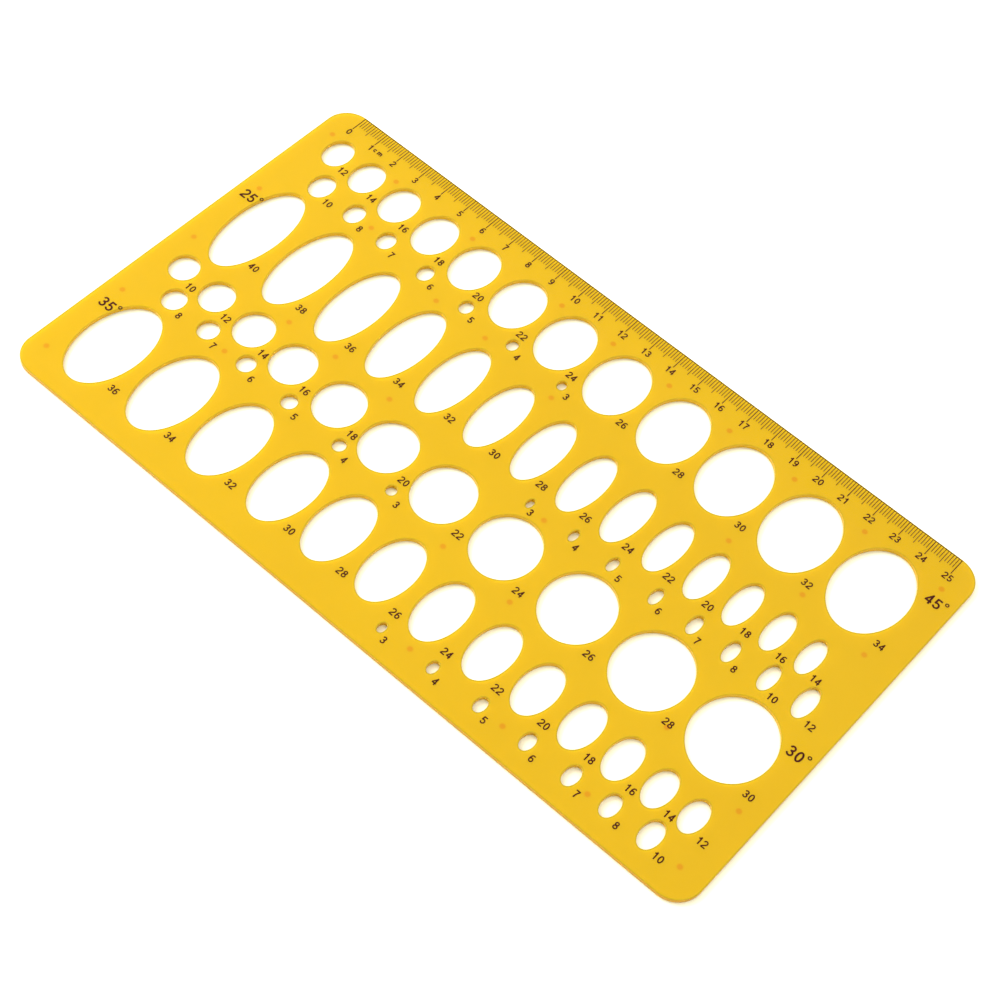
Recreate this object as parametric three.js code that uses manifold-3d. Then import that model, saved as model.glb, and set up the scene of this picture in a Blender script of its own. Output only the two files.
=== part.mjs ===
// An isometric ellipse template for technical drawing: one thin plastic sheet with 78 elliptical
// holes in four angle families, a centimetre rule printed along one long edge, and small pips
// underneath that lift the sheet off wet ink.
//
// Millimetres, +Z up. The origin is on the surface that the pips stand on, below the middle of
// the sheet. +X runs along the printed rule and +Y points to the ruled edge.
import * as THREE from "three";
import { mergeVertices } from "three/addons/utils/BufferGeometryUtils.js";
import Module from "manifold-3d";

// The sheet.
const SHEET_LENGTH = 268;
const SHEET_WIDTH = 154;
const SHEET_THICKNESS = 1.5;
const CORNER_RADIUS = 9;
const CORNER_STEPS = 6;

// The pips under the sheet.
const PIP_HEIGHT = 0.5;
const PIP_DIAMETER = 1.6;
const PIP_SIDES = 8;
const PIP_ROOT = 0.5; // how far a pip's solid reaches into the sheet, to join it

// The print on the upper face.
const INK_THICKNESS = 0.0625;
const RULE_LENGTH = 250;
const RULE_START = 9; // from the sheet's end to the rule's zero mark
const BASELINE_INSET = 0.3; // from the ruled edge to the line that joins the graduations
const GRADUATION_WIDTH = 0.25;
const CENTIMETRE_TICK = 6.9; // each tick's far end, from the ruled edge
const HALF_CENTIMETRE_TICK = 6;
const MILLIMETRE_TICK = 4.6;
const NUMBER_DROP = 8.6; // from the ruled edge to the middle of the rule's numbers
const NUMBER_HEIGHT = 2.6;
const UNIT_DROP = 8; // the same for the letters of the unit mark, cm, after the rule's 1
const UNIT_LETTERS = { c: 11.9, m: 13.3 }; // and where they stand along the rule
const HEADING_HEIGHT = 4;
const DEGREE_DIAMETER = 1.4;

// A digit's or letter's box, as shares of its height.
const DIGIT_WIDTH = 0.6;
const DIGIT_ADVANCE = 0.78;
const PEN_WIDTH = 0.16;
const RING_SIDES = 12;

// The holes. A hole's size is its major axis, and every hole is wider than its size by the
// room that the pencil point takes. The minor axis is the size times the sine of the family's
// angle. Places are measured from the rule's zero mark, along the rule (x) and away from it (y).
const PENCIL_ROOM = 0.8;
const CHORD_ERROR = 0.15; // how far a hole's flat facets may leave the true ellipse
const degrees = Math.PI / 180;

// A large row packs its holes with a narrow web between each two; a small row fills the
// triangles that the large row leaves. The tops, middles or bottoms of a row stand on one line,
// and a row with a step walks away from the ruled edge by that much at each hole.
const HOLE_ROWS = [
  {
    angle: 45,
    sizes: [12, 14, 16, 18, 20, 22, 24, 26, 28, 30, 32, 34],
    first: 4.2,
    webs: 4.8,
    top: 12.6,
  },
  {
    angle: 45,
    sizes: [10, 8, 7, 6, 5, 4, 3],
    centres: [10.5, 26, 41, 59, 77.5, 98, 119.5],
    middle: 33.2,
    step: 0.9,
  },
  {
    angle: 25,
    sizes: [40, 38, 36, 34, 32, 30, 28, 26, 24, 22, 20, 18, 16, 14],
    first: 8.7,
    webs: 6.1,
    middle: 62,
    step: 0,
  },
  {
    angle: 25,
    sizes: [3, 4, 5, 6, 7, 8, 10, 12],
    centres: [141.5, 158.5, 173.5, 190, 204.5, 218, 231.5, 244.5],
    bottom: 81.7,
  },
  {
    angle: 60,
    sizes: [10, 12, 14, 16, 18, 20, 22, 24, 26, 28, 30],
    first: 4,
    webs: [6, 6, 5, 6, 5, 5.5, 6, 7.5, 6, 6],
    top: 85.6,
  },
  {
    angle: 60,
    sizes: [8, 7, 6, 5, 4, 3],
    centres: [11, 27, 44.5, 64, 86, 108.5],
    middle: 102,
    step: 1,
  },
  {
    angle: 35,
    sizes: [36, 34, 32, 30, 28, 26, 24, 22, 20, 18, 16, 14, 12],
    first: 10.6,
    webs: [6, 5.5, 6.5, 4.5, 5.5, 6, 6.5, 5.5, 6, 5.5, 5, 5],
    middle: 128.2,
    step: 0,
  },
  {
    angle: 35,
    sizes: [3, 4, 5, 6, 7, 8, 10],
    centres: [139, 158.5, 176.5, 194, 210, 224, 238],
    bottom: 146.3,
  },
];

// Each heading names a family by the angle printed on the sheet: the 60-degree family carries
// its complement, 30.
const HEADINGS = [
  { text: "45", x: 252, y: 19.2 },
  { text: "25", x: -3, y: 53.8 },
  { text: "30", x: 252.4, y: 91.7 },
  { text: "35", x: -2, y: 118.5 },
];

// Pips stand where the sheet has room between the holes.
const PIPS = [
  [-3, 13.7], [26, 13.7], [60, 13.7], [98.7, 13.7], [120.4, 13.7], [143.7, 13.7],
  [168.3, 13.7], [194.3, 13.7], [221.8, 13.7], [251.2, 13.7],
  [-3, 49], [33.9, 34.6], [69, 42], [90, 42], [120.2, 44.8], [193.5, 47], [221.5, 46.3], [247.5, 50],
  [-3, 79.3], [42.4, 82.5], [62, 82], [85, 82], [148.5, 82],
  [36.4, 105.4], [-3, 111], [133, 111], [160, 111.6], [220, 111.4], [251.6, 118],
  [-3, 143.4], [149.7, 144.4], [185.6, 144.7], [217, 144.2], [250, 143.4],
];

const wasm = await Module();
wasm.setup();

const plastic = { color: 0xf2b81f, roughness: 0.25, metalness: 0 };
const ink = { color: 0x2a170b, roughness: 0.6, metalness: 0 };

// Sheet coordinates: x from the rule's zero mark and y from the ruled edge, as the part's X and Y.
const partX = (x) => x + RULE_START - SHEET_LENGTH / 2;
const partY = (y) => SHEET_WIDTH / 2 - y;
const underside = PIP_HEIGHT;
const upperFace = PIP_HEIGHT + SHEET_THICKNESS;

// A closed three.js geometry as a manifold-3d solid.
function solidOf(geometry) {
  const bare = geometry.clone();
  bare.deleteAttribute("normal");
  bare.deleteAttribute("uv");
  const merged = mergeVertices(bare, 1e-4);
  return new wasm.Manifold(new wasm.Mesh({
    numProp: 3,
    vertProperties: new Float32Array(merged.attributes.position.array),
    triVerts: new Uint32Array(merged.index.array),
  }));
}

// A manifold-3d solid as a named three.js mesh.
function meshOf(solid, name, look) {
  const made = solid.getMesh();
  const geometry = new THREE.BufferGeometry();
  geometry.setAttribute("position", new THREE.BufferAttribute(made.vertProperties, 3));
  geometry.setIndex(new THREE.BufferAttribute(made.triVerts, 1));
  geometry.computeVertexNormals();
  const mesh = new THREE.Mesh(geometry, new THREE.MeshStandardMaterial(look));
  mesh.name = name;
  return mesh;
}

// A flat shape standing up from z for depth.
function slab(shape, z, depth) {
  const geometry = new THREE.ExtrudeGeometry(shape, { depth, bevelEnabled: false, steps: 1 });
  return geometry.translate(0, 0, z);
}

// Points round an ellipse, counter-clockwise.
function ellipsePoints(x, y, halfWidth, halfHeight, count) {
  return Array.from({ length: count }, (_, i) => {
    const turn = (i / count) * 2 * Math.PI;
    return new THREE.Vector2(x + halfWidth * Math.cos(turn), y + halfHeight * Math.sin(turn));
  });
}

// Where each hole of a row stands along the rule.
function rowCentres(row) {
  if (row.centres) return row.centres;
  const halfWidths = row.sizes.map((size) => (size / 2) * Math.sin(row.angle * degrees));
  const places = [row.first];
  for (let i = 1; i < row.sizes.length; i++) {
    const web = row.webs[i - 1] ?? row.webs;
    places.push(places[i - 1] + halfWidths[i - 1] + web + halfWidths[i]);
  }
  return places;
}

// How far from the ruled edge the row's hole number i stands.
function rowDepth(row, i) {
  if (row.top !== undefined) return row.top + row.sizes[i] / 2;
  if (row.bottom !== undefined) return row.bottom - row.sizes[i] / 2;
  return row.middle + row.step * i;
}

// A hole's outline, with as many facets as its size needs.
function holeOutline(angle, size, x, y) {
  const halfHeight = (size + PENCIL_ROOM) / 2;
  const halfWidth = (size * Math.sin(angle * degrees) + PENCIL_ROOM) / 2;
  const quarter = Math.ceil(Math.PI / Math.acos(1 - CHORD_ERROR / halfHeight) / 4);
  return new THREE.Path(ellipsePoints(partX(x), partY(y), halfWidth, halfHeight, 4 * quarter));
}

function sheetOutline() {
  const shape = new THREE.Shape();
  const [right, far, r] = [SHEET_LENGTH / 2, SHEET_WIDTH / 2, CORNER_RADIUS];
  const corners = [[right - r, far - r, 0], [r - right, far - r, 90], [r - right, r - far, 180],
    [right - r, r - far, 270]];
  const points = [];
  for (const [x, y, start] of corners)
    for (let i = 0; i <= CORNER_STEPS; i++) {
      const turn = (start + (90 * i) / CORNER_STEPS) * degrees;
      points.push(new THREE.Vector2(x + r * Math.cos(turn), y + r * Math.sin(turn)));
    }
  return shape.setFromPoints(points);
}

function templateSheet() {
  const outline = sheetOutline();
  for (const row of HOLE_ROWS) {
    const centres = rowCentres(row);
    row.sizes.forEach((size, i) => {
      outline.holes.push(holeOutline(row.angle, size, centres[i], rowDepth(row, i)));
    });
  }
  let sheet = solidOf(slab(outline, underside, SHEET_THICKNESS));
  const pipLength = PIP_HEIGHT + PIP_ROOT;
  for (const [x, y] of PIPS) {
    const pip = new THREE.CylinderGeometry(PIP_DIAMETER / 2, PIP_DIAMETER / 2, pipLength, PIP_SIDES);
    pip.rotateX(90 * degrees).translate(partX(x), partY(y), pipLength / 2);
    sheet = sheet.add(solidOf(pip));
  }
  return meshOf(sheet, "template_sheet", plastic);
}

// The rule's graduations, one comb of ink: a line along the ruled edge and a tick each
// millimetre, longer at each half centimetre and longest at each centimetre.
function tickLength(mark) {
  if (mark % 10 === 0) return CENTIMETRE_TICK;
  return mark % 5 === 0 ? HALF_CENTIMETRE_TICK : MILLIMETRE_TICK;
}

function scaleGraduations() {
  const half = GRADUATION_WIDTH / 2;
  const edge = BASELINE_INSET;
  const inner = edge + GRADUATION_WIDTH;
  const points = [];
  for (let mark = 0; mark <= RULE_LENGTH; mark++) {
    const tip = tickLength(mark);
    if (mark > 0) points.push([mark - half, inner]);
    points.push([mark - half, tip], [mark + half, tip]);
    if (mark < RULE_LENGTH) points.push([mark + half, inner]);
  }
  points.push([RULE_LENGTH + half, edge], [-half, edge]);
  const shape = new THREE.Shape(points.map(([x, y]) => new THREE.Vector2(partX(x), partY(y))));
  return meshOf(solidOf(slab(shape, upperFace, INK_THICKNESS)), "scale_graduations", ink);
}

// Digits and the unit's letters, drawn with a square pen on a box DIGIT_WIDTH wide and 1 high.
// A stroke is a line through points and arcs, and a ring is a closed oval.
const arc = (x, y, halfWidth, halfHeight, from, to, steps = 7) =>
  Array.from({ length: steps + 1 }, (_, i) => {
    const turn = (from + ((to - from) * i) / steps) * degrees;
    return [x + halfWidth * Math.cos(turn), y + halfHeight * Math.sin(turn)];
  });
const ring = (x, y, halfWidth, halfHeight) => ({ ring: true, x, y, halfWidth, halfHeight });
const STROKES = {
  0: [ring(0.3, 0.5, 0.22, 0.42)],
  1: [[[0.12, 0.72], [0.36, 0.92]], [[0.36, 0], [0.36, 1]]],
  2: [[...arc(0.3, 0.68, 0.21, 0.24, 170, -35), [0.06, 0.08]], [[0.02, 0.08], [0.56, 0.08]]],
  3: [arc(0.28, 0.71, 0.2, 0.21, 160, -90), arc(0.28, 0.29, 0.23, 0.21, 90, -160)],
  4: [[[0.42, 0], [0.42, 1]], [[0.42, 0.92], [0.05, 0.3]], [[0, 0.28], [0.58, 0.28]]],
  5: [[[0.52, 0.92], [0.12, 0.92]], [[0.14, 0.96], [0.1, 0.5]], arc(0.28, 0.33, 0.23, 0.25, 140, -155)],
  6: [ring(0.3, 0.32, 0.22, 0.24), [[0.09, 0.3], ...arc(0.34, 0.5, 0.25, 0.42, 180, 60, 5)]],
  7: [[[0.02, 0.92], [0.56, 0.92]], [[0.5, 0.92], [0.2, 0]]],
  8: [ring(0.3, 0.72, 0.19, 0.2), ring(0.3, 0.29, 0.22, 0.21)],
  9: [ring(0.3, 0.68, 0.22, 0.24), [[0.51, 0.7], ...arc(0.26, 0.5, 0.25, 0.42, 0, -120, 5)]],
  c: [arc(0.28, 0.27, 0.19, 0.2, 50, 310)],
  m: [
    [[0.04, 0], [0.04, 0.55]],
    [...arc(0.18, 0.33, 0.14, 0.14, 180, 0), [0.32, 0]],
    [...arc(0.46, 0.33, 0.14, 0.14, 180, 0), [0.6, 0]],
  ],
};

// A pen line through points as a closed outline: out along its left side, back along its right.
function strokeShape(points, pen) {
  const left = [];
  const right = [];
  points.forEach((point, i) => {
    const before = points[Math.max(i - 1, 0)];
    const after = points[Math.min(i + 1, points.length - 1)];
    const along = after.clone().sub(before).normalize();
    const across = new THREE.Vector2(-along.y, along.x).multiplyScalar(pen / 2);
    left.push(point.clone().add(across));
    right.unshift(point.clone().sub(across));
  });
  return new THREE.Shape([...left, ...right].reverse());
}

// A pen line round a closed oval.
function ringShape(x, y, halfWidth, halfHeight, pen) {
  const [outer, inner] = [pen / 2, -pen / 2].map((side) =>
    ellipsePoints(x, y, halfWidth + side, halfHeight + side, RING_SIDES));
  const shape = new THREE.Shape(outer);
  shape.holes.push(new THREE.Path(inner));
  return shape;
}

// One printed character, height tall, whose box has its middle at x, y on the sheet.
function characterMesh(character, x, y, height, name) {
  const place = ([u, v]) => new THREE.Vector2(
    partX(x) + (u - DIGIT_WIDTH / 2) * height, partY(y) + (v - 0.5) * height);
  const pen = PEN_WIDTH * height;
  const strokes = STROKES[character].map((stroke) => {
    if (!stroke.ring) return strokeShape(stroke.map(place), pen);
    const middle = place([stroke.x, stroke.y]);
    return ringShape(middle.x, middle.y, stroke.halfWidth * height, stroke.halfHeight * height, pen);
  });
  const solids = strokes.map((shape) => solidOf(slab(shape, upperFace, INK_THICKNESS)));
  return meshOf(solids.reduce((whole, part) => whole.add(part)), name, ink);
}

// A printed number, centred at x, y: one mesh for each digit, because ink dries in islands.
function numberMeshes(text, x, y, height, name) {
  const start = x - ((text.length - 1) * DIGIT_ADVANCE * height) / 2;
  return [...text].map((digit, i) => {
    const place = text.length === 1 ? "" : ["_tens", "_units"][i];
    return characterMesh(digit, start + i * DIGIT_ADVANCE * height, y, height, name + place);
  });
}

function scaleNumbers() {
  const meshes = [];
  for (let centimetre = 0; centimetre <= RULE_LENGTH / 10; centimetre++)
    meshes.push(...numberMeshes(
      String(centimetre), centimetre * 10, NUMBER_DROP, NUMBER_HEIGHT, "scale_number_" + centimetre));
  return meshes;
}

function unitMark() {
  return Object.entries(UNIT_LETTERS).map(([letter, x]) =>
    characterMesh(letter, x, UNIT_DROP, NUMBER_HEIGHT, "scale_unit_" + letter));
}

// A family's angle and its degree ring.
function headingMeshes({ text, x, y }) {
  const name = "heading_" + text;
  const pen = PEN_WIDTH * DEGREE_DIAMETER;
  const ringX = partX(x) + HEADING_HEIGHT;
  const ringY = partY(y) + HEADING_HEIGHT / 2;
  const radius = (DEGREE_DIAMETER - pen) / 2;
  const degree = slab(ringShape(ringX, ringY, radius, radius, pen), upperFace, INK_THICKNESS);
  return [
    ...numberMeshes(text, x, y, HEADING_HEIGHT, name),
    meshOf(solidOf(degree), name + "_degree", ink),
  ];
}

const template = new THREE.Group();
template.add(templateSheet());
template.add(scaleGraduations());
template.add(...scaleNumbers());
template.add(...unitMark());
template.add(...HEADINGS.flatMap(headingMeshes));

export default template;
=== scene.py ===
"""An isometric ellipse template, lying on a pale floor: a clear amber sheet with elliptical holes,
a ruled edge and dark print."""

import math

import bpy
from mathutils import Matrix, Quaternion, Vector
from mathutils.geometry import delaunay_2d_cdt


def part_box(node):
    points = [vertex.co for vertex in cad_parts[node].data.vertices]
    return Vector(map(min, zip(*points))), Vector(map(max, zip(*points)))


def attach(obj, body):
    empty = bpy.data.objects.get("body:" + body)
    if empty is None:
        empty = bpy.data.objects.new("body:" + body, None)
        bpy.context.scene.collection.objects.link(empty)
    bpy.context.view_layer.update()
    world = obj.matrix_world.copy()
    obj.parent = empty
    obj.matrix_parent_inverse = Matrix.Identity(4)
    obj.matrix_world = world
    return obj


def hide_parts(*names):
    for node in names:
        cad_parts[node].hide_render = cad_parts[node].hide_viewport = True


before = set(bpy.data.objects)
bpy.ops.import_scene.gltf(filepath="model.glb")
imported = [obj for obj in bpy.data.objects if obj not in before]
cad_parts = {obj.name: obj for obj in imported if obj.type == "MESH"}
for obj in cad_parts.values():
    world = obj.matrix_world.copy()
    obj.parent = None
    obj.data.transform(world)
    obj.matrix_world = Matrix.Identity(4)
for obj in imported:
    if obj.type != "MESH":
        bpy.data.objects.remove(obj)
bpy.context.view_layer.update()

MM = 0.001
TINY = 1e-6
UP, DOWN = Vector((0, 0, 1)), Vector((0, 0, -1))


# ---------------------------------------------------------------- sizes read from the frame
def rims(node, level):
    """The closed rims at a height, where a node's walls meet a flat face, as sets of points."""
    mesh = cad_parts[node].data
    links = {}
    for face in mesh.polygons:
        if abs(face.normal.z) > 0.5:
            continue
        corners = [mesh.vertices[v].co for v in face.vertices]
        ends = [(round(c.x, 6), round(c.y, 6)) for c in corners if abs(c.z - level) < TINY]
        if len(ends) == 2:
            links.setdefault(ends[0], set()).add(ends[1])
            links.setdefault(ends[1], set()).add(ends[0])
    found = []
    while links:
        rim, fresh = set(), [next(iter(links))]
        while fresh:
            point = fresh.pop()
            rim.add(point)
            fresh += [p for p in links.pop(point, ()) if p in links]
        found.append(rim)
    return found


def oval_of(rim):
    """(centre x, centre y, half width, half height) of a rim whose axes lie along X and Y."""
    xs, ys = [p[0] for p in rim], [p[1] for p in rim]
    return (
        (min(xs) + max(xs)) / 2,
        (min(ys) + max(ys)) / 2,
        (max(xs) - min(xs)) / 2,
        (max(ys) - min(ys)) / 2,
    )


def sorted_ovals(node, level):
    return sorted(oval_of(rim) for rim in rims(node, level))


SHEET_LOW, SHEET_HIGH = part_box("template_sheet")
GRADUATIONS_LOW, GRADUATIONS_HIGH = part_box("scale_graduations")
UPPER_FACE = GRADUATIONS_LOW.z
INK_TOP = GRADUATIONS_HIGH.z
LOWER_FACE = min(
    v.co.z
    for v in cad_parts["template_sheet"].data.vertices
    if abs(v.co.x - SHEET_HIGH.x) < TINY
)
ALL_OVALS = sorted_ovals("template_sheet", UPPER_FACE)
OUTLINE = max(ALL_OVALS, key=lambda oval: oval[2])
HOLES = [oval for oval in ALL_OVALS if oval is not OUTLINE]
PIPS = sorted_ovals("template_sheet", SHEET_LOW.z)

# ---------------------------------------------------------------- the sheet
EDGE_RADIUS = 0.18 * MM  # the softened edges of the sheet and its holes
EDGE_STEPS = 4
CORNER_STEPS = 24
FINE_POINTS = 144  # round the largest holes
PIP_POINTS = 24
PIP_RADIUS_SHARE = 0.3  # the fillet and the softened edge of a pip, as a share of its height
PIP_SHADE_OUTER, PIP_SHADE_INNER = 1.6, 0.8  # the painted shade over each pip, as shares of the pip's radius
RIM_SHADE_WIDTH = 0.4 * MM  # the painted shade line, darker, on the flat faces beside each edge

# The plastic's painted shade is a number at each vertex, which its material turns into a darker
# colour.
SHADE_ATTRIBUTE = "tone"
# Painted shade levels: over the pips, none on the faces, beside each edge, on the outer wall, in
# the holes.
PIP_SHADE_LEVEL, FACE_SHADE_LEVEL, RIM_SHADE_LEVEL, OUTER_WALL_SHADE_LEVEL, HOLE_WALL_SHADE_LEVEL = 0.0, 0.3, 0.5, 0.75, 1.0


def turns_left(points):
    """Whether a closed line of 2D points runs counter-clockwise."""
    return sum(a.cross(b) for a, b in zip(points, points[1:] + points[:1])) > 0


class Shell:
    """The vertices and faces of one closed surface. Each vertex has its normal and its painted
    shade.
    """

    def __init__(self):
        self.points, self.normals, self.tones, self.faces = [], [], [], []

    def ring(self, points, normals, tone):
        start = len(self.points)
        self.points += points
        self.normals += normals
        self.tones += [tone] * len(points)
        return list(range(start, start + len(points)))

    def band(self, upper, lower):
        count = len(upper)
        for i in range(count):
            j = (i + 1) % count
            self.faces.append((upper[i], lower[i], lower[j], upper[j]))

    def cap(self, rings, facing_up):
        """Fills the first ring with a flat face that leaves the other rings open."""
        ids = [i for ring in rings for i in ring]
        flat = [self.points[i].to_2d() for i in ids]
        loops, start = [], 0
        for ring in rings:
            loop = list(range(start, start + len(ring)))
            loops.append(loop if turns_left([flat[i] for i in loop]) else loop[::-1])
            start += len(ring)
        _, _, triangles, origins, _, covered_by = delaunay_2d_cdt(flat, [], loops, 1, 0)
        for triangle, loops_over in zip(triangles, covered_by):
            if loops_over == [0]:
                a, b, c = (ids[origins[v][0]] for v in triangle)
                self.faces.append((a, b, c) if facing_up else (a, c, b))

    def mesh(self, name):
        made = bpy.data.meshes.new(name)
        made.from_pydata(self.points, [], self.faces)
        made.shade_smooth()
        made.normals_split_custom_set_from_vertices([tuple(n) for n in self.normals])
        made.attributes.new(SHADE_ATTRIBUTE, "FLOAT", "POINT").data.foreach_set("value", self.tones)
        return made


def corner_radius():
    """The outline's corner radius: how far from the sheet's end its long straight edge stops."""
    rim = max(rims("template_sheet", UPPER_FACE), key=lambda r: oval_of(r)[2])
    straight = [p[0] for p in rim if abs(p[1] - SHEET_HIGH.y) < TINY]
    return SHEET_HIGH.x - max(straight)


def outline_points():
    """Points and outward directions round the sheet, counter-clockwise."""
    x, y, half_width, half_height = OUTLINE
    radius = corner_radius()
    points = []
    for corner, (sx, sy) in enumerate(((1, 1), (-1, 1), (-1, -1), (1, -1))):
        middle = Vector((x + sx * (half_width - radius), y + sy * (half_height - radius), 0))
        for i in range(CORNER_STEPS + 1):
            turn = math.radians(90 * corner + 90 * i / CORNER_STEPS)
            out = Vector((math.cos(turn), math.sin(turn), 0))
            points.append((middle + out * radius, out))
    return points


def hole_points(oval, count):
    """Points round an oval hole, clockwise, with directions into the hole."""
    x, y, half_width, half_height = oval
    points = []
    for i in range(count):
        turn = -2 * math.pi * i / count
        across = Vector((half_width * math.cos(turn), half_height * math.sin(turn), 0))
        out = Vector((math.cos(turn) / half_width, math.sin(turn) / half_height, 0)).normalized()
        points.append((Vector((x, y, 0)) + across, -out))
    return points


def pip_points(oval, scale=1):
    """Points and outward directions round a pip, counter-clockwise."""
    x, y, half_width, half_height = oval
    scaled = (x, y, half_width * scale, half_height * scale)
    return [(p, -out) for p, out in reversed(hole_points(scaled, PIP_POINTS))]


def wall(shell, contour, wall_shade_level):
    """A wall with softened edges along a contour, and the rims beside it on both faces, painted
    darker as shade. Returns its first and last ring, which lie on those faces."""
    rings = []
    for end, sign in ((UPPER_FACE, 1), (LOWER_FACE, -1)):
        for step in range(EDGE_STEPS + 1):
            share = step / EDGE_STEPS if sign > 0 else 1 - step / EDGE_STEPS
            turn = math.radians(90 * (1 - share))
            level = end - sign * EDGE_RADIUS * (1 - math.sin(turn))
            inset = EDGE_RADIUS * (1 - math.cos(turn))
            points = [p - out * inset + UP * level for p, out in contour]
            normals = [out * math.cos(turn) + UP * sign * math.sin(turn) for p, out in contour]
            # painted shade: darker towards the softened edge, darkest on the wall
            tone = RIM_SHADE_LEVEL + (wall_shade_level - RIM_SHADE_LEVEL) * min(1, 2 * share)
            rings.append(shell.ring(points, normals, tone))
        # the painted shade line on each face fades to the face's colour at this ring
        points = [p - out * (EDGE_RADIUS + RIM_SHADE_WIDTH) + UP * end for p, out in contour]
        rim = shell.ring(points, [UP * sign] * len(points), FACE_SHADE_LEVEL)
        rings.insert(0 if sign > 0 else len(rings), rim)
    for upper, lower in zip(rings, rings[1:]):
        shell.band(upper, lower)
    return rings[0], rings[-1]


def pip(shell, oval):
    """A round foot under the sheet, with a fillet at its root and a softened lower edge. Returns
    the ring where it meets the sheet."""
    contour = pip_points(oval)
    radius = PIP_RADIUS_SHARE * (LOWER_FACE - SHEET_LOW.z)
    rings = []
    for end, side in ((LOWER_FACE, -1), (SHEET_LOW.z, 1)):
        for step in range(EDGE_STEPS + 1):
            share = step / EDGE_STEPS if side > 0 else 1 - step / EDGE_STEPS
            turn = math.radians(90 * share)
            inset = side * radius * (1 - math.cos(turn))
            level = end + side * radius * (1 - math.sin(turn))
            points = [p - out * inset + UP * level for p, out in contour]
            normals = [out * math.cos(turn) + DOWN * math.sin(turn) for p, out in contour]
            # painted shade: the pip darkens from the face's colour to a deeper orange
            rings.append(shell.ring(points, normals, FACE_SHADE_LEVEL * share if side < 0 else PIP_SHADE_LEVEL))
    for upper, lower in zip(rings, rings[1:]):
        shell.band(upper, lower)
    shell.cap([rings[-1]], facing_up=False)
    return rings[0]


def pip_seen_from_above(shell, oval):
    """The patch of the upper face over a pip, painted a deeper orange as shade where the pip lies
    beneath.
    Returns its outer ring.
    """
    rings = []
    for scale, tone in ((PIP_SHADE_OUTER, FACE_SHADE_LEVEL), (PIP_SHADE_INNER, PIP_SHADE_LEVEL)):
        points = [p + UP * UPPER_FACE for p, out in pip_points(oval, scale)]
        rings.append(shell.ring(points, [UP] * len(points), tone))
    outer, inner = rings
    shell.band(inner, outer)
    shell.cap([inner], facing_up=True)
    return outer


def template_sheet():
    shell = Shell()
    ends = [wall(shell, outline_points(), OUTER_WALL_SHADE_LEVEL)]
    largest = max(hole[3] for hole in HOLES)
    for hole in HOLES:
        count = 4 * math.ceil(FINE_POINTS * math.sqrt(hole[3] / largest) / 4)
        ends.append(wall(shell, hole_points(hole, count), HOLE_WALL_SHADE_LEVEL))
    tops, bottoms = map(list, zip(*ends))
    tops += [pip_seen_from_above(shell, oval) for oval in PIPS]
    bottoms += [pip(shell, oval) for oval in PIPS]
    shell.cap(tops, facing_up=True)
    shell.cap(bottoms, facing_up=False)
    return shell.mesh("template_sheet_moulded")


# ---------------------------------------------------------------- the print
INK_SUNK = 0.02 * MM  # print reaches this far into the sheet, so that no two faces share a place


def ink_islands(quads, name, corner, scale):
    """Ink over four-cornered pieces, which may overlap. They are drawn in units of the scale from a
    corner on the upper face, and are joined into islands with a top, a bottom and walls."""
    corners = [Vector(point) for quad in quads for point in quad]
    pieces = [tuple(range(4 * i, 4 * i + 4)) for i in range(len(quads))]
    points, _, triangles, _, _, covered_by = delaunay_2d_cdt(corners, [], pieces, 1, TINY)
    covered = [t for t, pieces_over in zip(triangles, covered_by) if pieces_over]
    used = sorted({v for t in covered for v in t})
    index = {v: i for i, v in enumerate(used)}
    flat = [Vector(corner) + points[v] * scale for v in used]
    top = [Vector((*point, INK_TOP)) for point in flat]
    bottom = [Vector((*point, UPPER_FACE - INK_SUNK)) for point in flat]
    count = len(flat)
    faces, sides = [], set()
    for triangle in covered:
        a, b, c = (index[v] for v in triangle)
        faces += [(a, b, c), (a + count, c + count, b + count)]
        sides |= {(a, b), (b, c), (c, a)}
    faces += [(a, a + count, b + count, b) for a, b in sorted(sides) if (b, a) not in sides]
    made = bpy.data.meshes.new(name)
    made.from_pydata(top + bottom, [], faces)
    return made


# The rule, in millimetres.
RULE_LENGTH = 250
FINE_LINE, BOLD_LINE = 0.2, 0.26
FIVE_TICK_CUT, ONE_TICK_CUT = 0.9, 2.3  # how much shorter these ticks are than the longest


def rectangle(left, low, right, high):
    return [(left, low), (right, low), (right, high), (left, high)]


def graduations():
    """The rule's ticks, joined by the line along the ruled edge."""
    zero = (GRADUATIONS_LOW.x + GRADUATIONS_HIGH.x - RULE_LENGTH * MM) / 2
    edge = GRADUATIONS_HIGH.y
    longest = (edge - GRADUATIONS_LOW.y) / MM
    quads = [rectangle(-BOLD_LINE / 2, -FINE_LINE, RULE_LENGTH + BOLD_LINE / 2, 0)]
    for mark in range(RULE_LENGTH + 1):
        cut = 0 if mark % 10 == 0 else FIVE_TICK_CUT if mark % 5 == 0 else ONE_TICK_CUT
        half = (BOLD_LINE if mark % 10 == 0 else FINE_LINE) / 2
        quads.append(rectangle(mark - half, cut - longest, mark + half, 0))
    return ink_islands(quads, "scale_graduations_print", (zero, edge), MM)


# Characters on a box CHARACTER_WIDTH wide and 1 high, drawn as the middle line of a pen.
CHARACTER_WIDTH = 0.6
CHARACTER_ADVANCE = 0.72
PEN_WIDTH = 0.155
THIN_PEN_WIDTH = 0.09
DEGREE = "\u00b0"


def arc(x, y, half_width, half_height, start, end, steps=12):
    turns = [math.radians(start + (end - start) * i / steps) for i in range(steps + 1)]
    return [(x + half_width * math.cos(t), y + half_height * math.sin(t)) for t in turns]


def bowl(x, y, half_width, half_height):
    """A closed round stroke."""
    return arc(x, y, half_width, half_height, 0, 360, 28)


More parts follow.
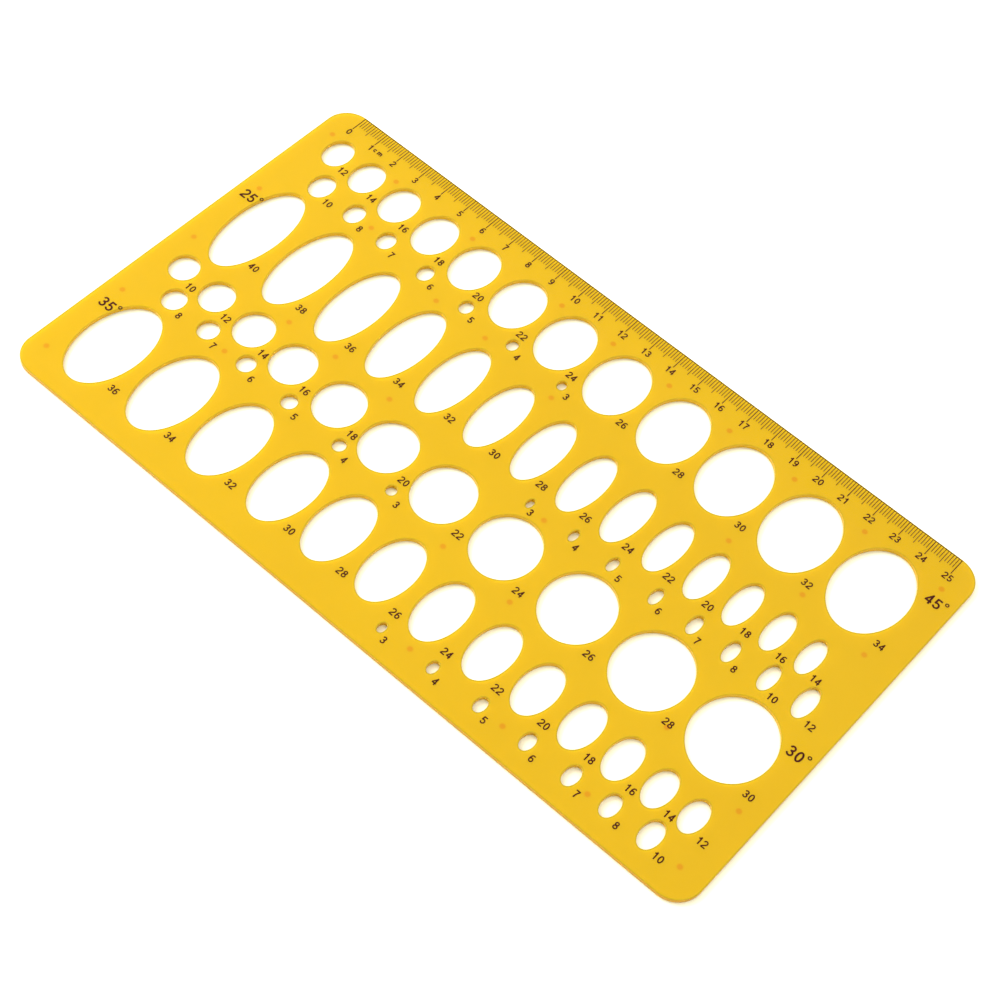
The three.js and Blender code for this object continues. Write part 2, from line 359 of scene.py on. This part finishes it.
def strokes_of(character):
    """The pen's lines for one digit, letter or degree ring."""
    return {
        "0": [bowl(0.3, 0.5, 0.215, 0.425)],
        "1": [[(0.1, 0.74), (0.22, 0.76), (0.31, 0.84), (0.36, 1)], [(0.36, 1), (0.36, 0)]],
        "2": [
            arc(0.3, 0.705, 0.215, 0.22, 175, 0)
            + [(0.5, 0.6), (0.43, 0.49), (0.2, 0.29), (0.1, 0.16), (0.08, 0.0)],
            [(0.0, 0.075), (0.575, 0.075)],
        ],
        "3": [
            arc(0.285, 0.725, 0.195, 0.2, 170, -90),
            arc(0.285, 0.29, 0.215, 0.215, 90, -170),
            [(0.21, 0.515), (0.3, 0.515)],
        ],
        "4": [[(0.42, 0), (0.42, 1)], [(0.44, 0.95), (0.06, 0.3)], [(0, 0.275), (0.58, 0.275)]],
        "5": [
            [(0.53, 0.925), (0.1, 0.925)],
            [(0.15, 0.96), (0.1, 0.47)],
            arc(0.28, 0.325, 0.225, 0.25, 142, -160),
        ],
        "6": [bowl(0.305, 0.315, 0.21, 0.24), arc(0.355, 0.48, 0.26, 0.445, 190, 55)],
        "7": [
            [(0.02, 0.925), (0.57, 0.925)],
            [(0.53, 0.95), (0.36, 0.62), (0.27, 0.34), (0.23, 0)],
        ],
        "8": [bowl(0.3, 0.73, 0.185, 0.195), bowl(0.3, 0.29, 0.215, 0.215)],
        "9": [bowl(0.295, 0.685, 0.21, 0.24), arc(0.245, 0.52, 0.26, 0.445, 10, -125)],
        DEGREE: [bowl(0.2, 0.96, 0.13, 0.13)],
        "c": [arc(0.27, 0.27, 0.19, 0.19, 45, 315)],
        "m": [
            [(0.08, 0), (0.08, 0.54)],
            arc(0.21, 0.34, 0.13, 0.13, 180, 0, 8) + [(0.34, 0)],
            arc(0.47, 0.34, 0.13, 0.13, 180, 0, 8) + [(0.6, 0)],
        ],
    }[character]


def pen_quads(points, pen):
    """A pen's line through points, as a strip of four-cornered pieces."""
    closed = (Vector(points[0]) - Vector(points[-1])).length < TINY
    last = len(points) - 1
    sides = []
    for i, point in enumerate(points):
        before = points[-2 if closed and i == 0 else max(i - 1, 0)]
        after = points[1 if closed and i == last else min(i + 1, last)]
        along = (Vector(after) - Vector(before)).normalized()
        across = Vector((-along.y, along.x)) * pen / 2
        sides.append((Vector(point) + across, Vector(point) - across))
    return [(a[1], b[1], b[0], a[0]) for a, b in zip(sides, sides[1:])]


def printed_text(text, name, corner, height):
    """A text, height tall, with its lower left corner at a point of the upper face."""
    quads = []
    for i, character in enumerate(text):
        start = Vector((i * CHARACTER_ADVANCE, 0))
        pen = THIN_PEN_WIDTH if character == DEGREE else PEN_WIDTH
        for stroke in strokes_of(character):
            quads += [[start + point for point in quad] for quad in pen_quads(stroke, pen)]
    return ink_islands(quads, name, corner, height)


def printed_number(text, name, centre, height):
    """Digits whose box, without a degree ring, is centred on a point of the upper face."""
    digits = text.rstrip(DEGREE)
    width = CHARACTER_WIDTH + CHARACTER_ADVANCE * (len(digits) - 1)
    corner = Vector(centre) - Vector((width, 1)) * height / 2
    return printed_text(text, name, corner, height)


# ---------------------------------------------------------------- the sizes beside the holes
PENCIL_ROOM = 0.8 * MM  # how much wider each hole is than the size printed beside it
SIZE_HEIGHT = 2.65 * MM

# Each family of holes is named by its angle, and has a row of large holes and a row of small ones.
SMALLEST_LARGE = {25: 14, 35: 12, 45: 12, 60: 10}

# How far right of its hole's edge and below its hole's centre a size stands, by family and row:
# millimetres right, plus a share of the hole's half height, then the same for below.
SIZE_PLACES = {
    (25, "large"): (2.7, -0.05, 1.5, 0.64),
    (25, "small"): (1.5, 0.15, 1.4, 0.66),
    (35, "large"): (3.2, -0.06, 0.5, 0.69),
    (35, "small"): (1.7, 0.15, 2.1, 0.39),
    (45, "large"): (2.5, -0.11, -0.9, 0.88),
    (45, "small"): (2.4, -0.02, 1.7, 0.45),
    (60, "large"): (2.8, -0.07, -0.7, 0.77),
    (60, "small"): (3.7, -0.44, 2.3, 0.32),
}

# How many millimetres further right and below some sizes stand, by family and size.
SIZE_NUDGES = {
    (25, 40): (0, -2), (25, 36): (0, 0.7), (25, 34): (-0.5, 0.5), (25, 30): (0, 0.8),
    (25, 14): (0, -0.7), (25, 5): (1, -0.4), (25, 3): (-0.6, 0), (35, 36): (0, -1),
    (35, 34): (-1, 0), (35, 28): (0.6, 0.5), (35, 26): (0.9, 0.6), (35, 24): (0.7, 0.6),
    (35, 14): (0, -0.7), (45, 24): (0, -1), (60, 10): (0, 0.9), (60, 16): (0, -0.7),
    (60, 18): (0.3, -0.6), (60, 20): (0.9, -1), (60, 22): (0.8, 0), (60, 24): (0.3, 0.7),
    (60, 26): (-0.7, 0.7), (60, 30): (-0.6, 0.4),
}


def family_and_size(hole):
    width, height = 2 * hole[2] - PENCIL_ROOM, 2 * hole[3] - PENCIL_ROOM
    angle = math.degrees(math.asin(min(1, width / height)))
    return min(SMALLEST_LARGE, key=lambda family: abs(family - angle)), round(height / MM)


def size_place(hole):
    family, size = family_and_size(hole)
    row = "large" if size >= SMALLEST_LARGE[family] else "small"
    right, right_share, down, down_share = SIZE_PLACES[family, row]
    nudge_right, nudge_down = SIZE_NUDGES.get((family, size), (0, 0))
    x = hole[0] + hole[2] + (right + nudge_right) * MM + right_share * hole[3]
    y = hole[1] - (down + nudge_down) * MM - down_share * hole[3]
    return x, y


# ---------------------------------------------------------------- materials
class Nodes:
    """A new node material with a Principled shader, and short calls that add to it."""

    def __init__(self, name):
        self.material = bpy.data.materials.new(name)
        self.material.use_nodes = True
        self.tree = self.material.node_tree
        self.shader = self.tree.nodes["Principled BSDF"]
        self.place = self.add("ShaderNodeTexCoord").outputs["Object"]

    def add(self, kind, **settings):
        node = self.tree.nodes.new(kind)
        for key, value in settings.items():
            setattr(node, key, value)
        return node

    def link(self, a, b):
        self.tree.links.new(a, b)

    def noise(self, scale, detail=3.0, roughness=0.5, stretch=(1, 1, 1)):
        """A noise field over the object, scale to the metre."""
        mapping = self.add("ShaderNodeMapping")
        mapping.inputs["Scale"].default_value = stretch
        self.link(self.place, mapping.inputs["Vector"])
        node = self.add("ShaderNodeTexNoise")
        node.inputs["Scale"].default_value = scale
        node.inputs["Detail"].default_value = detail
        node.inputs["Roughness"].default_value = roughness
        self.link(mapping.outputs["Vector"], node.inputs["Vector"])
        return node.outputs["Fac"]

    def ramp(self, field, stops):
        node = self.add("ShaderNodeValToRGB")
        for i, (at, colour) in enumerate(stops):
            elements = node.color_ramp.elements
            stop = elements[i] if i < 2 else elements.new(at)
            stop.position = at
            stop.color = (*colour, 1)
        self.link(field, node.inputs["Fac"])
        return node.outputs["Color"]

    def multiply(self, a, b):
        node = self.add("ShaderNodeMix", data_type="RGBA", blend_type="MULTIPLY")
        node.inputs["Factor"].default_value = 1
        self.link(a, node.inputs["A"])
        self.link(b, node.inputs["B"])
        return node.outputs["Result"]

    def span(self, field, low, high):
        """The field's middle range carried to low..high."""
        node = self.add("ShaderNodeMapRange")
        node.inputs["From Min"].default_value = 0.3
        node.inputs["From Max"].default_value = 0.7
        node.inputs["To Min"].default_value = low
        node.inputs["To Max"].default_value = high
        self.link(field, node.inputs["Value"])
        return node.outputs["Result"]

    def bump(self, field, distance, under=None):
        node = self.add("ShaderNodeBump")
        node.inputs["Strength"].default_value = 1
        node.inputs["Distance"].default_value = distance
        self.link(field, node.inputs["Height"])
        if under:
            self.link(under, node.inputs["Normal"])
        return node.outputs["Normal"]

    def set(self, **values):
        for key, value in values.items():
            self.shader.inputs[key.replace("_", " ")].default_value = value


def amber_plastic():
    n = Nodes("amber_plastic")
    cloud = n.ramp(
        n.noise(14, detail=4),
        [(0.3, (0.722, 0.45, 0.0012)), (0.7, (0.738, 0.471, 0.0016))],
    )
    tone = n.add("ShaderNodeAttribute", attribute_name=SHADE_ATTRIBUTE).outputs["Fac"]
    # Painted shade multiplied onto the plastic: deeper over the pips, darker beside edges and on
    # walls.
    shades = [
        (PIP_SHADE_LEVEL, (0.975, 0.68, 0.5)),
        (FACE_SHADE_LEVEL, (1, 1, 1)),
        (RIM_SHADE_LEVEL, (0.68, 0.87, 1)),
        (OUTER_WALL_SHADE_LEVEL, (0.9, 0.74, 0.6)),
        (HOLE_WALL_SHADE_LEVEL, (1, 0.94, 0.6)),
    ]
    n.link(n.multiply(cloud, n.ramp(tone, shades)), n.shader.inputs["Base Color"])
    n.link(n.span(n.noise(90), 0.15, 0.26), n.shader.inputs["Roughness"])
    waves = n.bump(n.noise(45, detail=1), 0.02 * MM)
    hairlines = n.bump(n.noise(300, detail=2, stretch=(1, 14, 1)), 0.002 * MM, under=waves)
    n.link(hairlines, n.shader.inputs["Normal"])
    n.set(IOR=1.49, Transmission_Weight=0.5)
    n.set(Specular_IOR_Level=0.08, Specular_Tint=(1, 0.95, 0.62, 1))
    return n.material


def printed_ink():
    n = Nodes("printed_ink")
    blotches = n.noise(900, detail=4, roughness=0.65)
    brown = n.ramp(blotches, [(0.3, (0.025, 0.004, 0.002)), (0.75, (0.07, 0.014, 0.004))])
    n.link(brown, n.shader.inputs["Base Color"])
    n.link(n.span(blotches, 0.35, 0.6), n.shader.inputs["Roughness"])
    n.link(n.bump(blotches, 0.01 * MM), n.shader.inputs["Normal"])
    n.set(Specular_IOR_Level=0.05)
    return n.material


def pale_floor():
    n = Nodes("pale_floor")
    grain = n.noise(60, detail=5)
    # A cream tint, seen only where the floor is shaded by the sheet: painted light, as if through
    # the amber.
    shade_glow_tint = n.ramp(grain, [(0.3, (0.93, 0.92, 0.73)), (0.7, (0.95, 0.94, 0.75))])
    n.link(shade_glow_tint, n.shader.inputs["Base Color"])
    n.link(n.span(grain, 0.6, 0.75), n.shader.inputs["Roughness"])
    return n.material


# ---------------------------------------------------------------- placing the pieces
def new_object(name, data):
    piece = bpy.data.objects.new(name, data)
    bpy.context.scene.collection.objects.link(piece)
    return piece


def show(mesh, material, slot, *nodes):
    """Places a piece, which replaces these CAD nodes."""
    piece = new_object(mesh.name, mesh)
    mesh.materials.append(material)
    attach(piece, "root")
    if nodes:
        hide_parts(*nodes)


def middle_of(nodes):
    """(middle x, middle y, height) of the box round some CAD nodes."""
    boxes = [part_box(node) for node in nodes]
    low = Vector(map(min, zip(*(box[0] for box in boxes))))
    high = Vector(map(max, zip(*(box[1] for box in boxes))))
    return (low.x + high.x) / 2, (low.y + high.y) / 2, high.y - low.y


def nodes_starting(prefix):
    return sorted(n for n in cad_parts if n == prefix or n.startswith(prefix + "_"))


def show_print():
    material = printed_ink()

    def show_ink(mesh, *nodes):
        show(mesh, material, "printed_ink", *nodes)

    show_ink(graduations(), "scale_graduations")
    for centimetre in range(RULE_LENGTH // 10 + 1):
        nodes = nodes_starting(f"scale_number_{centimetre}")
        x, y, height = middle_of(nodes)
        name = f"scale_print_{centimetre}"
        show_ink(printed_number(str(centimetre), name, (x, y), height), *nodes)
    nodes = nodes_starting("scale_unit")
    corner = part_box(nodes[0])[0].to_2d()
    height = middle_of(nodes_starting(f"scale_number_{RULE_LENGTH // 10}"))[2]
    show_ink(printed_text("cm", "scale_unit_print", corner, height), *nodes)
    for angle in (25, 30, 35, 45):
        nodes = nodes_starting(f"heading_{angle}")
        x, y, height = middle_of(n for n in nodes if not n.endswith("_degree"))
        name = f"heading_print_{angle}"
        show_ink(printed_number(f"{angle}{DEGREE}", name, (x, y), height), *nodes)
    for hole in HOLES:
        family, size = family_and_size(hole)
        name = f"size_print_{family}_degrees_{size}"
        show_ink(printed_number(str(size), name, size_place(hole), SIZE_HEIGHT))


# ---------------------------------------------------------------- floor, light and camera
FLOOR_GAP = 0.01 * MM  # keeps the floor and the pips' flat ends from sharing a place
FLOOR_HALF_SIZE = 3.0
WORLD_STRENGTH = 1.4
KEY_LIGHT_PLACE = Vector((-0.85, -0.2, 0.72))
KEY_LIGHT_SIZE = 0.9
KEY_LIGHT_POWER = 15

# The photograph's view: the camera aims at a point near the sheet's middle and is rolled.
AIM = Vector((9.37, -9.0, 2.0)) * MM
AZIMUTH, ELEVATION, ROLL = 30.37, 55.17, 12.5
DISTANCE = 0.7077
FOCAL_LENGTH, SENSOR_WIDTH = 83.58, 36  # in millimetres
NEAREST, FARTHEST = 0.05, 20


def show_floor():
    mesh = bpy.data.meshes.new("floor")
    h = FLOOR_HALF_SIZE
    mesh.from_pydata([(-h, -h, 0), (h, -h, 0), (h, h, 0), (-h, h, 0)], [], [(0, 1, 2, 3)])
    mesh.materials.append(pale_floor())
    piece = new_object("floor", mesh)
    piece.location.z = SHEET_LOW.z - FLOOR_GAP


def aim(piece, direction, roll=0.0):
    piece.rotation_mode = "QUATERNION"
    turned = Quaternion((0, 0, 1), math.radians(roll))
    piece.rotation_quaternion = direction.to_track_quat("-Z", "Y") @ turned


def add_lights():
    world = bpy.data.worlds.new("studio")
    world.use_nodes = True
    background = world.node_tree.nodes["Background"]
    background.inputs["Color"].default_value = (1, 1, 1, 1)
    background.inputs["Strength"].default_value = WORLD_STRENGTH
    bpy.context.scene.world = world
    lamp = bpy.data.lights.new("key_light", "AREA")
    lamp.shape = "DISK"
    lamp.size = KEY_LIGHT_SIZE
    lamp.energy = KEY_LIGHT_POWER
    piece = new_object("key_light", lamp)
    piece.location = KEY_LIGHT_PLACE
    aim(piece, -KEY_LIGHT_PLACE)
    bpy.context.scene.view_settings.view_transform = "Standard"


def add_camera():
    lens = bpy.data.cameras.new("camera")
    lens.lens = FOCAL_LENGTH
    lens.sensor_width = SENSOR_WIDTH
    lens.clip_start, lens.clip_end = NEAREST, FARTHEST
    piece = new_object("camera", lens)
    a, e = math.radians(AZIMUTH), math.radians(ELEVATION)
    back = Vector((math.sin(a) * math.cos(e), -math.cos(a) * math.cos(e), math.sin(e)))
    piece.location = AIM + back * DISTANCE
    aim(piece, -back, ROLL)
    bpy.context.scene.camera = piece


show(template_sheet(), amber_plastic(), "amber_plastic", "template_sheet")
show_print()
show_floor()
add_lights()
add_camera()

bpy.context.view_layer.update()
